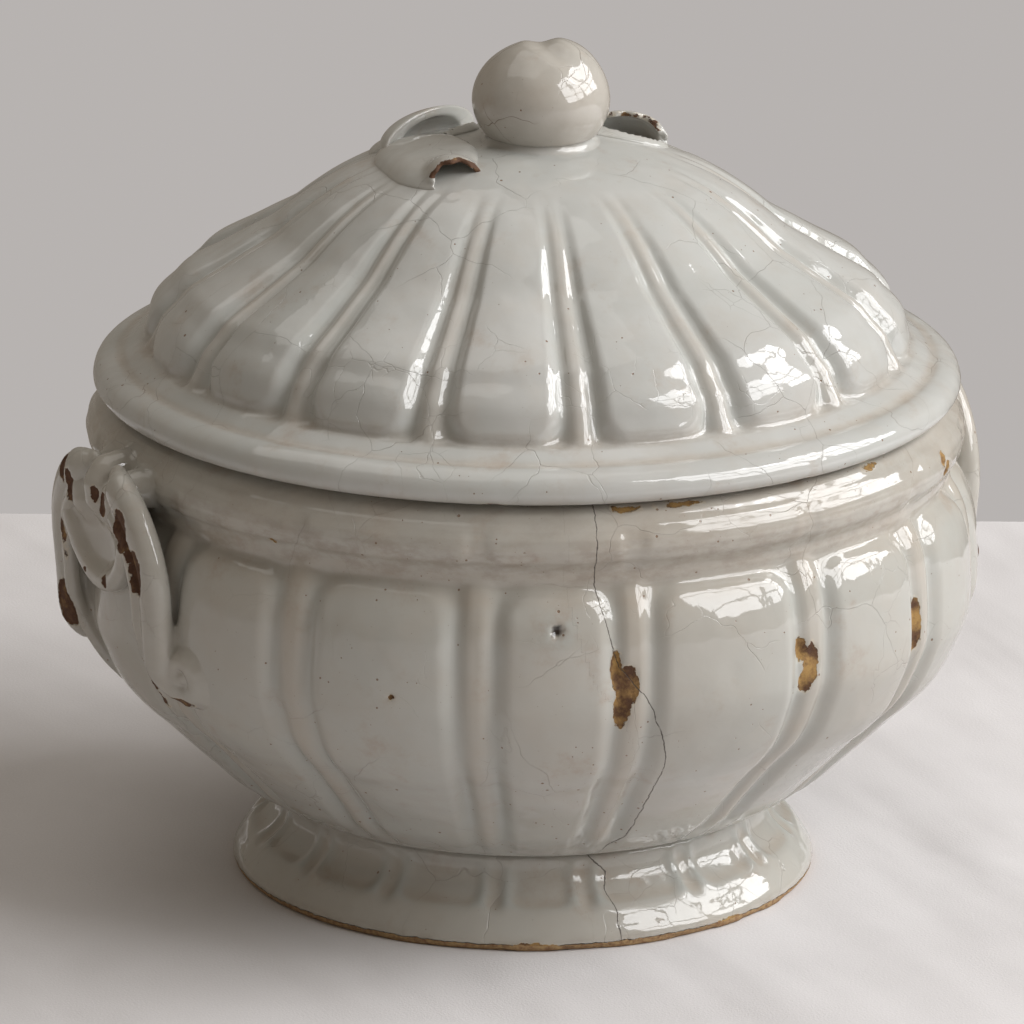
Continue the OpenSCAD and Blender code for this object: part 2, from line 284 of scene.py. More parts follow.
def crack_field(phi, r, z, path):
    """Signed distance from a crack, in mm."""
    best = np.full(np.broadcast(phi, r, z).shape, FAR)
    for (phi_a, z_a), (phi_b, z_b) in zip(path, path[1:]):
        ax = np.radians(turn_between(phi, phi_a)) * r
        bx = np.radians(phi_b - phi_a) * r
        by = z_b - z_a
        t = np.clip((ax * bx + (z - z_a) * by) / (bx * bx + by * by), 0, 1)
        dx, dz = ax - t * bx, (z - z_a) - t * by
        side = np.where(bx * (z - z_a) - by * ax > 0, 1.0, -1.0)
        distance = np.hypot(dx, dz) * side
        best = np.where(np.abs(distance) < np.abs(best), distance, best)
    return best


# --------------------------------------------------------------------- meshes
# What the glaze reads at each vertex, and its value where a piece has none of it
MARKS = {"pool": 0, "thin": 0, "dirt_and_shade": 0, "chip": -FAR, "crack": FAR, "hole": 0, "raw": 0}


def make_piece(name, points, quads, marks, body, nodes, slot, material):
    """A smooth mesh from points in mm, riding on a CAD body."""
    mesh = bpy.data.meshes.new(name)
    mesh.vertices.add(len(points))
    mesh.vertices.foreach_set("co", (points * MM).astype(np.float32).ravel())
    mesh.loops.add(quads.size)
    mesh.loops.foreach_set("vertex_index", quads.astype(np.int32).ravel())
    mesh.polygons.add(len(quads))
    starts = np.arange(len(quads)) * 4
    mesh.polygons.foreach_set("loop_start", starts.astype(np.int32))
    mesh.polygons.foreach_set("loop_total", np.full(len(quads), 4, np.int32))
    mesh.update(calc_edges=True)
    mesh.validate()
    mesh.shade_smooth()
    for mark, nothing in MARKS.items():
        values = np.broadcast_to(np.ravel(marks.get(mark, nothing)), len(points))
        layer = mesh.attributes.new(mark, "FLOAT", "POINT")
        layer.data.foreach_set("value", values.astype(np.float32))
    mesh.materials.append(material)
    piece = bpy.data.objects.new(name, mesh)
    bpy.context.scene.collection.objects.link(piece)
    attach(piece, body)
    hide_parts(*nodes)
    return piece


def turned_piece(name, line, closed, shape, marks, **made):
    """A line (r, z) turned round the axis and pushed out by shape(phi, r, z), with its marks.

    A closed line is the section of a ring. An open one is a shell that starts and
    ends at the axis or at a hidden edge."""
    slope = np.gradient(line, axis=0)
    slope = slope / np.linalg.norm(slope, axis=1)[:, None]
    rows = len(line)
    phi, r = np.meshgrid(np.arange(COLUMNS) * 360 / COLUMNS, line[:, 0])
    z = np.repeat(line[:, 1:], COLUMNS, 1)
    height = shape(phi, r, z)
    out_r = np.maximum(r + height * slope[:, 1:], 0)
    out_z = np.maximum(z - height * slope[:, :1], 0)
    a = np.radians(phi)
    points = np.stack([out_r * np.cos(a), out_r * np.sin(a), out_z], -1).reshape(-1, 3)

    i = np.arange(rows if closed else rows - 1)[:, None]
    j = np.arange(COLUMNS)[None, :]
    k = (j + 1) % COLUMNS
    below, above = i * COLUMNS, ((i + 1) % rows) * COLUMNS
    quads = np.stack(np.broadcast_arrays(below + j, below + k, above + k, above + j), -1)
    return make_piece(name, points, quads.reshape(-1, 4), marks(phi, r, z), **made)


def skin(field, low, high, step):
    """Points and quads of a distance field's surface, by surface nets."""
    axes = [np.arange(l, h + step, step) for l, h in zip(low, high)]
    shape = [len(a) for a in axes]
    value = field(*np.meshgrid(*axes, indexing="ij"))
    inside = value < 0
    corner = [(i, j, k) for i in (0, 1) for j in (0, 1) for k in (0, 1)]
    count = sum(
        inside[i:shape[0] - 1 + i, j:shape[1] - 1 + j, k:shape[2] - 1 + k].astype(np.int8)
        for i, j, k in corner)
    cell = (count > 0) & (count < 8)
    index = np.full(cell.shape, -1)
    index[cell] = np.arange(cell.sum())
    cells = np.argwhere(cell)
    total, weight = np.zeros((len(cells), 3)), np.zeros(len(cells))
    for n, a in enumerate(corner):
        for b in corner[n + 1:]:
            if sum(abs(p - q) for p, q in zip(a, b)) != 1:
                continue
            va = value[tuple((cells + a).T)]
            vb = value[tuple((cells + b).T)]
            crossing = (va < 0) != (vb < 0)
            t = np.where(crossing, va / np.where(va == vb, 1, va - vb), 0)
            place = np.array(a) + (np.array(b) - np.array(a)) * t[:, None]
            total += np.where(crossing[:, None], place, 0)
            weight += crossing
    points = np.array([a[0] for a in axes]) + (cells + total / weight[:, None]) * step
    quads = []
    for axis in range(3):
        u, v = (axis + 1) % 3, (axis + 2) % 3
        ahead = np.roll(inside, -1, axis)
        edge = inside != ahead
        for side, low_end, high_end in ((axis, 0, -1), (u, 1, -1), (v, 1, -1)):
            keep = np.zeros(shape[side], bool)
            keep[low_end:high_end] = True
            edge &= keep.reshape([-1 if d == side else 1 for d in range(3)])
        at = np.argwhere(edge)
        ring = []
        for du, dv in ((1, 1), (0, 1), (0, 0), (1, 0)):
            step_back = np.zeros(3, int)
            step_back[u], step_back[v] = du, dv
            ring.append(index[tuple((at - step_back).T)])
        quad = np.stack(ring, 1)
        flip = ~inside[tuple(at.T)]
        quad[flip] = quad[flip][:, ::-1]
        quads.append(quad)
    quads = np.vstack(quads)
    quads = quads[(quads >= 0).all(1)]
    for _ in range(2):
        f = field(*points.T)
        h = 0.05
        slope = np.stack([
            (field(*(points + d).T) - field(*(points - d).T)) / (2 * h)
            for d in np.eye(3) * h
        ], 1)
        size = np.maximum((slope ** 2).sum(1), 0.2)
        move = slope * (f / size)[:, None]
        points = points - np.clip(move, -step * 0.4, step * 0.4)
    return points, quads


def tube(x, y, z, path):
    """Distance to a band along points (x, y, z, half width, half thickness in x)."""
    best = np.full(x.shape, 99.0)
    for a, b in zip(path, path[1:]):
        d = b[:3] - a[:3]
        t = ((x - a[0]) * d[0] + (y - a[1]) * d[1] + (z - a[2]) * d[2]) / (d @ d)
        t = np.clip(t, 0, 1)
        dx, dy, dz = x - a[0] - t * d[0], y - a[1] - t * d[1], z - a[2] - t * d[2]
        wide, thick = a[3] + t * (b[3] - a[3]), a[4] + t * (b[4] - a[4])
        across = np.hypot(dy, dz)
        near = (np.hypot(across / wide, dx / thick) - 1) * np.minimum(wide, thick)
        best = np.minimum(best, near)
    return best


def blob(x, y, z, centre, half):
    """Distance inside an ellipsoid, in mm, for chips and dents."""
    d = np.sqrt(sum(((p - c) / h) ** 2 for p, c, h in zip((x, y, z), centre, half)))
    return (1 - d) * min(half) * 1.5


def blobs(x, y, z, chips):
    """The same for a list of (centre, half sizes)."""
    field = np.full(np.shape(x), -FAR)
    for centre, half in chips:
        field = np.maximum(field, blob(x, y, z, centre, half))
    return field


def bowl_field(x, y, z):
    """Distance outside the bowl's ribbed outside."""
    r = np.hypot(x, y)
    phi = np.degrees(np.arctan2(y, x))
    height = bowl_relief(phi, r, z)[0]
    return (r - bowl_radius(z) - height) * np.interp(z, [40, 75, 95], [0.75, 0.85, 0.98])


def lid_field(x, y, z):
    """Distance above the dome."""
    r = np.hypot(x, y)
    height = lid_relief(np.degrees(np.arctan2(y, x)), r, z)[0]
    return (z - lid_height(r)) * np.interp(r, [20, 50, 70], [1, 0.9, 0.8]) - height


def luted(shape, base, fillet):
    """A clay piece pressed onto a base and filleted with glaze, without the base."""
    fused = union(shape, base, fillet) + 0.12
    return np.maximum(np.maximum(fused, -(base + 1.5)), shape - fillet * 1.5)


# -------------------------------------------------------------------- shaders
class Shader:
    """A material's node tree, with short calls for the nodes used here."""

    def __init__(self, name):
        self.material = bpy.data.materials.new(name)
        self.material.use_nodes = True
        self.tree = self.material.node_tree
        self.tree.nodes.clear()
        self.place = self.node("ShaderNodeTexCoord").outputs["Object"]

    def node(self, kind, **settings):
        made = self.tree.nodes.new(kind)
        for key, value in settings.items():
            setattr(made, key, value)
        return made

    def link(self, value, socket):
        if isinstance(value, (int, float, tuple)):
            socket.default_value = value
        else:
            self.tree.links.new(value, socket)

    def maths(self, operation, a, b=0.0, clamp=False):
        n = self.node("ShaderNodeMath", operation=operation, use_clamp=clamp)
        self.link(a, n.inputs[0])
        self.link(b, n.inputs[1])
        return n.outputs[0]

    def times(self, a, b, clamp=False):
        return self.maths("MULTIPLY", a, b, clamp)

    def mix(self, share, a, b):
        n = self.node("ShaderNodeMix", data_type="RGBA")
        self.link(share, n.inputs[0])
        self.link(a, n.inputs[6])
        self.link(b, n.inputs[7])
        return n.outputs[2]

    def blend(self, share, a, b):
        n = self.node("ShaderNodeMix", data_type="FLOAT")
        self.link(share, n.inputs[0])
        self.link(a, n.inputs[2])
        self.link(b, n.inputs[3])
        return n.outputs[0]

    def ramp(self, value, low, high):
        n = self.node("ShaderNodeMapRange", interpolation_type="SMOOTHSTEP", clamp=True)
        self.link(value, n.inputs[0])
        n.inputs[1].default_value, n.inputs[2].default_value = low, high
        return n.outputs[0]

    def noise(self, size, detail=3.0, rough=0.5, shift=0.0, stretch=None, twist=0.0):
        """Noise with features of that size in mm."""
        place = self.place
        if stretch or shift:
            m = self.node("ShaderNodeMapping")
            self.link(place, m.inputs[0])
            m.inputs["Location"].default_value = (shift, shift * 0.7, shift * 1.3)
            m.inputs["Scale"].default_value = stretch or (1, 1, 1)
            place = m.outputs[0]
        n = self.node("ShaderNodeTexNoise")
        self.link(place, n.inputs["Vector"])
        n.inputs["Scale"].default_value = 1 / (size * MM)
        n.inputs["Detail"].default_value = detail
        n.inputs["Roughness"].default_value = rough
        n.inputs["Distortion"].default_value = twist
        return n.outputs["Fac"]

    def bent_place(self, size, amount):
        """Object coordinates pushed about by noise, amount in mm."""
        n = self.node("ShaderNodeTexNoise")
        self.link(self.place, n.inputs["Vector"])
        n.inputs["Scale"].default_value = 1 / (size * MM)
        n.inputs["Detail"].default_value = 3
        centred = self.node("ShaderNodeVectorMath", operation="SUBTRACT")
        self.link(n.outputs["Color"], centred.inputs[0])
        centred.inputs[1].default_value = (0.5, 0.5, 0.5)
        scaled = self.node("ShaderNodeVectorMath", operation="SCALE")
        self.link(centred.outputs[0], scaled.inputs[0])
        scaled.inputs["Scale"].default_value = amount * MM
        moved = self.node("ShaderNodeVectorMath", operation="ADD")
        self.link(self.place, moved.inputs[0])
        self.link(scaled.outputs[0], moved.inputs[1])
        return moved.outputs[0]

    def cells(self, size, feature="F1", place=None):
        n = self.node("ShaderNodeTexVoronoi", feature=feature)
        self.link(place or self.place, n.inputs["Vector"])
        n.inputs["Scale"].default_value = 1 / (size * MM)
        return n

    def picked_cells(self, size):
        """Distance to the nearest cell's middle, and three numbers of that cell."""
        cells = self.cells(size)
        numbers = self.node("ShaderNodeSeparateColor")
        self.link(cells.outputs["Color"], numbers.inputs[0])
        return cells.outputs["Distance"], numbers.outputs

    def mark(self, name):
        return self.node("ShaderNodeAttribute", attribute_name=name).outputs["Fac"]

    def finish(self, colour, roughness, bumps, ior):
        """The finished material; bumps are (height, distance in mm), coarse first."""
        surface = self.node("ShaderNodeBsdfPrincipled")
        self.link(colour, surface.inputs["Base Color"])
        self.link(roughness, surface.inputs["Roughness"])
        surface.inputs["IOR"].default_value = ior
        normal = None
        for height, distance in bumps:
            b = self.node("ShaderNodeBump")
            b.inputs["Strength"].default_value = 1.0
            b.inputs["Distance"].default_value = distance * MM
            self.link(height, b.inputs["Height"])
            if normal is not None:
                self.link(normal, b.inputs["Normal"])
            normal = b.outputs[0]
        if normal is not None:
            self.link(normal, surface.inputs["Normal"])
        out = self.node("ShaderNodeOutputMaterial")
        self.link(surface.outputs[0], out.inputs["Surface"])
        return self.material


WHITE = (0.455, 0.434, 0.392, 1)
COOL = (0.430, 0.442, 0.418, 1)
WARM = (0.440, 0.372, 0.300, 1)
# dark brown used both for dirt and for painted shade in creases and under overhangs
GRIME_AND_SHADE = (0.205, 0.150, 0.100, 1)
RUST = (0.34, 0.23, 0.15, 1)
CRAZE = (0.175, 0.135, 0.100, 1)
SPECK = (0.20, 0.11, 0.06, 1)
PIT = (0.22, 0.17, 0.13, 1)
CRACK = (0.07, 0.055, 0.045, 1)
HOLE = (0.030, 0.020, 0.015, 1)
# pale broken glaze, brighter than the glaze: partly a painted highlight on chip edges
BROKEN_GLAZE_AND_HIGHLIGHT = (0.58, 0.50, 0.38, 1)
CLAY_DARK = (0.080, 0.032, 0.013, 1)
CLAY_OCHRE = (0.400, 0.240, 0.075, 1)
CLAY_GRAIN = (0.17, 0.08, 0.03, 1)
RAW_DARK, RAW_PALE = (0.20, 0.10, 0.045, 1), (0.42, 0.28, 0.13, 1)


def body_colour(s, white, mottle, grime_and_shade):
    """White, cooler where the glaze pooled, warmer where it ran thin, darkened by dirt and painted shade,
    and stained.
    """
    colour = s.mix(s.times(s.ramp(s.noise(60, 3, 0.55), 0.35, 0.7), 0.45), white, COOL)
    colour = s.mix(s.times(s.mark("pool"), 0.75), colour, COOL)
    colour = s.mix(s.times(s.ramp(mottle, 0.42, 0.70), 0.16), colour, WARM)
    thin = s.times(s.mark("thin"), s.blend(mottle, 0.25, 1.15), clamp=True)
    colour = s.mix(s.times(thin, 0.62), colour, WARM)
    colour = s.mix(grime_and_shade, colour, GRIME_AND_SHADE)
    stain = s.ramp(s.noise(19, 6, 0.68, shift=0.77), 0.55, 0.76)
    return s.mix(s.times(stain, 0.34), colour, RUST)


def crazing_lines(s):
    """A wide net of fine lines and a closer one, each showing only in places."""
    wide = s.cells(30, "DISTANCE_TO_EDGE", s.bent_place(24, 16)).outputs["Distance"]
    close = s.cells(13, "DISTANCE_TO_EDGE", s.bent_place(11, 6)).outputs["Distance"]
    where_wide = s.ramp(s.noise(38, 2, 0.5, shift=0.83), 0.44, 0.60)
    where_close = s.ramp(s.noise(30, 2, 0.5, shift=0.19), 0.56, 0.66)
    wide = s.times(s.ramp(wide, 0.0042, 0.0010), where_wide)
    close = s.times(s.ramp(close, 0.010, 0.003), where_close)
    return s.maths("MAXIMUM", wide, s.times(close, 0.6))


def specks_and_pits(s, amount):
    """Round specks of all sizes and small pits between them, crowded in places."""
    crowd = s.ramp(s.noise(45, 2, 0.5, shift=0.37), 0.35, 0.7)
    dots, dot_pick = s.picked_cells(2.4)
    chosen = s.maths("LESS_THAN", dot_pick[0], s.times(crowd, 0.5 * amount))
    size = s.times(s.maths("POWER", dot_pick[1], 3.0), 0.13)
    dot = s.maths("SUBTRACT", s.maths("ADD", size, 0.075), dots)
    specks = s.times(s.ramp(dot, -0.02, 0.03), chosen)
    pits, pit_pick = s.picked_cells(1.3)
    chosen = s.maths("LESS_THAN", pit_pick[2], s.times(crowd, 0.16 * amount))
    return specks, s.times(s.ramp(pits, 0.16, 0.08), chosen)


def glaze(name, white=WHITE, clay=0.5, crazing=0.5, specks=0.5, worn=0.0, dirt_and_shade=0.5):
    """Old tin glaze over brown clay. clay is the share of dark clay in chips, worn
    how far sharp edges are rubbed; the others are how much of each there is."""
    s = Shader(name)
    mottle = s.noise(14, 5, 0.6, shift=0.31)
    fine = s.noise(3.2, 4, 0.6, shift=0.57)
    grain = s.noise(1.6, 6, 0.7, shift=0.9)

    streak = s.noise(11, 6, 0.65, stretch=(1, 1, 1.8), shift=0.11)
    # darkening mark: real dirt together with painted shade in creases and under overhangs, broken up by
    # streaks
    grime_and_shade = s.times(s.mark("dirt_and_shade"), s.ramp(streak, 0.40, 0.68), clamp=True)
    colour = body_colour(s, white, mottle, s.times(grime_and_shade, dirt_and_shade))

    lines = crazing_lines(s)
    colour = s.mix(s.times(lines, crazing), colour, CRAZE)
    speck, pit = specks_and_pits(s, specks)
    colour = s.mix(s.times(speck, 0.8), colour, SPECK)
    colour = s.mix(s.times(pit, 0.5), colour, PIT)
    if worn:
        edge = s.ramp(s.node("ShaderNodeNewGeometry").outputs["Pointiness"], 0.53, 0.60)
        rub = s.times(edge, s.ramp(s.noise(9, 4, 0.6, shift=0.2), 0.5, 0.62))
        colour = s.mix(s.times(rub, worn), colour, WARM)

    # chips down to the clay, with ragged edges and a thin pale line of broken glaze, painted brighter
    # than the glaze as a highlight on the chip's edge
    ragged = s.times(s.maths("SUBTRACT", s.noise(3.6, 5, 0.62, shift=0.41), 0.5), 4.2)
    chip = s.maths("ADD", s.mark("chip"), ragged)
    chipped = s.ramp(chip, 0.0, 0.14)
    broken_edge_and_highlight = s.times(s.ramp(chip, -0.5, -0.05), s.ramp(chip, 0.12, 0.0))
    tone = s.ramp(s.noise(7, 4, 0.6, shift=0.66), clay - 0.12, clay + 0.12)
    bare = s.mix(tone, CLAY_DARK, CLAY_OCHRE)
    bare = s.mix(s.times(s.ramp(grain, 0.4, 0.7), 0.5), bare, CLAY_GRAIN)
    colour = s.mix(s.times(broken_edge_and_highlight, 0.55), colour, BROKEN_GLAZE_AND_HIGHLIGHT)
    colour = s.mix(chipped, colour, bare)

    # cracks through the wall, the pinhole, and bare clay on the resting edge
    waver = s.times(s.maths("SUBTRACT", s.noise(5, 4, 0.6, shift=0.5), 0.5), 2.2)
    off = s.maths("ABSOLUTE", s.maths("ADD", s.mark("crack"), waver))
    cracked = s.times(s.ramp(off, 0.24, 0.08), s.ramp(fine, 0.25, 0.45))
    colour = s.mix(s.times(cracked, 0.85), colour, CRACK)
    colour = s.mix(s.mark("hole"), colour, HOLE)
    raw = s.ramp(s.maths("ADD", s.mark("raw"), s.times(ragged, 0.22)), 0.42, 0.58)
    colour = s.mix(raw, colour, s.mix(s.ramp(grain, 0.3, 0.7), RAW_DARK, RAW_PALE))

    unglazed = s.maths("MAXIMUM", chipped, raw)
    rough = s.blend(s.ramp(mottle, 0.3, 0.8), 0.03, 0.07)
    rough = s.blend(s.times(grime_and_shade, 0.6), rough, 0.35)
    rough = s.blend(s.maths("MAXIMUM", unglazed, cracked), rough, 0.85)
    glossy = s.maths("SUBTRACT", 1.0, unglazed)
    ripple = s.times(s.noise(26, 2, 0.5, shift=0.71), glossy)
    peel = s.times(s.noise(7, 2, 0.45, shift=0.27), glossy)
    sunk = s.maths("SUBTRACT", s.times(grain, s.times(chipped, 0.5)), chipped)
    hollow = s.times(s.maths("ADD", s.maths("ADD", cracked, speck), lines), -1.0)
    bumps = [(ripple, 1.3), (peel, 0.16), (sunk, 0.7), (hollow, 0.12)]
    return s.finish(colour, rough, bumps, ior=1.62)


mat_bowl = glaze("bowl_glaze", clay=0.5, crazing=0.12, specks=0.8, dirt_and_shade=0.42)
mat_foot = glaze("foot_glaze", clay=0.45, crazing=0.15, dirt_and_shade=0.5)
mat_lid = glaze("lid_glaze", white=(0.510, 0.507, 0.485, 1), clay=0.5, crazing=0.22,
                specks=0.35, dirt_and_shade=0.32)
mat_handle = glaze("handle_glaze", clay=0.68, crazing=0.1, worn=0.5)
mat_fruit = glaze("fruit_glaze", white=(0.470, 0.440, 0.395, 1), crazing=0.9, specks=0.4,
                  worn=0.3)
mat_leaf = glaze("leaf_glaze", white=(0.495, 0.495, 0.470, 1), clay=0.6, crazing=0.1,
                 specks=0.3, worn=0.4)


# --------------------------------------------------------- bowl, foot and lid
def on_rows(z, first, count):
    """1 on some rows of a turned piece and 0 on the others."""
    mask = np.zeros_like(z)
    mask[first:first + count] = 1
    return mask


def bowl_outside(z):
    return on_rows(z, len(bowl_floor_line), len(bowl_line))


def pinhole_field(phi, r, z, half):
    return chip_field(phi, r, z, [(*PINHOLE, half, half)])


def bowl_shape(phi, r, z):
    hurt = chip_field(phi, r, z, BOWL_CHIPS)
    hole = pinhole_field(phi, r, z, PINHOLE_DIP)
    throwing = 0.16 * np.sin(z * 1.9 + 0.8 * np.sin(np.radians(phi) * 2)) * ramp(130, 134, z)
    sunk = 0.9 * ramp(-0.3, 1.3, hurt) + 1.6 * ramp(-0.4, 1.0, hole)
    return (bowl_relief(phi, r, z)[0] + throwing - sunk) * bowl_outside(z)


def bowl_marks(phi, r, z):
    outside = bowl_outside(z)
    floor = on_rows(z, 0, len(bowl_floor_line))
    _, lobes, ribs = bowl_relief(phi, r, z)
    belly = ramp(32, 40, z) * ramp(133, 127, z) * outside
    groove = in_groove(lobes, ribs) * belly
    neck = ramp(129, 134, z) * outside
    hole_arc = np.radians(turn_between(phi, PINHOLE[0])) * r
    around_hole = ramp(8, 2, np.hypot(hole_arc, z - PINHOLE[1]))
    thin = 0.75 * ribs * belly + 0.5 * neck + 0.35 * ramp(128, 133, z) * ramp(137, 134, z)
    thin = thin + 0.45 * ramp(0, 1, ramp(5, 0, np.abs(z - 128)))
    # Darkening, dirt and painted shade together: dirt bands over the flange, with painted shade heaviest
    # on the underside of its roll and in the neck crease below it, also at the bottom of the belly by the
    # foot and under the floor
    dirt_and_shade = neck * (0.35 + 0.65 * ramp(7, 0, np.abs(z - 140)))
    dirt_and_shade = dirt_and_shade + 0.5 * ramp(4, 0, np.abs(z - 133.5)) + 0.35 * ramp(36, 30, z)
    chips = chip_field(phi, r, z, BOWL_CHIPS)
    hole = pinhole_field(phi, r, z, PINHOLE_DARK)
    return {
        "pool": np.clip(groove * 0.8 + 0.5 * ramp(60, 35, z) * outside + around_hole, 0, 1),
        "thin": np.clip(thin * (1 - around_hole), 0, 1) + 0.3 * floor,
        "dirt_and_shade": np.clip(dirt_and_shade * outside, 0, 1) + 0.3 * floor,
        "chip": np.where(outside > 0, chips, -FAR),
        "hole": ramp(0.2, 0.9, hole) * outside,
        "crack": np.where(outside > 0, crack_field(phi, r, z, BOWL_CRACK), FAR),
    }


def foot_shape(phi, r, z):
    hurt = chip_field(phi, r, z, FOOT_CHIPS)
    return foot_relief(phi, r, z)[0] - 0.5 * ramp(0, 1.2, hurt)


def foot_marks(phi, r, z):
    _, lobes, ribs = foot_relief(phi, r, z)
    outside = ramp(74, 77, r)
    band = ramp(11, 13, z) * ramp(24, 21, z) * outside
    low_end = ramp(3.0, 0.6, np.abs(z - 12.6)) * outside * ramp(0.15, 0.7, np.maximum(lobes, ribs))
    under = ramp(3.4, 1.0, z) + (1 - outside) * ramp(84, 82, r)
    return {
        "pool": np.clip(band * in_groove(lobes, ribs) + 0.4 * ramp(20, 25, z), 0, 1),
        "thin": np.clip(0.9 * low_end + 0.5 * ribs * band + 0.35 * ramp(6, 2, z), 0, 1),
        # darker towards the bottom edge and at the pads' lower ends, and painted shade at the top where
        # the foot tucks under the belly
        "dirt_and_shade": np.clip(0.8 * ramp(6, 1, z) + 0.7 * ramp(22, 26, z) + 0.2 * low_end, 0, 1),
        "chip": chip_field(phi, r, z, FOOT_CHIPS),
        "crack": crack_field(phi, r, z, FOOT_CRACK),
        "raw": np.clip(under, 0, 1),
    }


def lid_shape(phi, r, z):
    hurt = chip_field(phi, r, z, LID_CHIPS)
    height = lid_relief(phi, r, z)[0] - 0.5 * ramp(-0.3, 0.8, hurt)
    return height * on_rows(z, 0, len(lid_line))


def lid_marks(phi, r, z):
    outside = on_rows(z, 0, len(lid_line))
    _, lobes, ribs = lid_relief(phi, r, z)
    dome = ramp(120, 117, r) * ramp(48, 62, r) * outside
    groove = in_groove(lobes, ribs) * dome
    crease = ramp(2.6, 0.4, np.abs(r - 126.6)) * ramp(164, 166, z) * outside
    foot = ramp(2.6, 0.4, np.abs(r - 119.4)) * ramp(168, 170, z) * outside
    edge = ramp(130, 134, r) * ramp(160, 156, z)
    # Darkening: painted shade under the lid's outer edge, in the brim's crease and round the dome's foot,
    # with some dirt
    dirt_and_shade = 0.5 * edge + 0.75 * foot + 0.55 * crease + 0.25 * ramp(160, 157, z)
    return {
        "pool": np.clip(groove * 0.9 + ramp(48, 30, r) * 0.3 * outside, 0, 1),
        "thin": np.clip(0.6 * ribs * dome + 0.9 * crease + 0.5 * foot + 0.4 * edge, 0, 1),
        "dirt_and_shade": np.clip(dirt_and_shade, 0, 1) * outside,
        "chip": np.where(outside > 0, chip_field(phi, r, z, LID_CHIPS), -FAR),
    }


def ring_shape(phi, r, z):
    return np.zeros_like(z)


def ring_marks(phi, r, z):
    return {"thin": 0.3, "dirt_and_shade": 0.3}


bowl_section = np.vstack([bowl_floor_line, bowl_line, smooth_line(BOWL_IN, 2.5)])
lid_section = np.vstack([lid_line, smooth_line(LID_IN + [LID_OUT[0]], 2.5)])
turned_piece("tureen_bowl", bowl_section, False, bowl_shape, bowl_marks,
             body="bowl_body", nodes=["bowl"], slot="white_glaze", material=mat_bowl)
turned_piece("tureen_foot", closed_line(FOOT, 0.9), True, foot_shape, foot_marks,
             body="bowl_body", nodes=["foot_ring"], slot="foot_glaze", material=mat_foot)
turned_piece("tureen_lid", lid_section, False, lid_shape, lid_marks,
             body="lid_body", nodes=["lid"], slot="lid_glaze", material=mat_lid)
turned_piece("tureen_lid_ring", closed_line(LOCATING_RING, 1.5), True, ring_shape, ring_marks,
             body="ring_body", nodes=["lid_locating_ring"], slot="lid_glaze", material=mat_lid)


# -------------------------------------------------------------------- handles
ARCH_R = 32.3
ARCH_Z = 114
RIDGE_R = 25.5


def belly_x(across, z):
    """x of the bowl's plain outside."""
    return math.sqrt(bowl_radius(z) ** 2 - across ** 2)


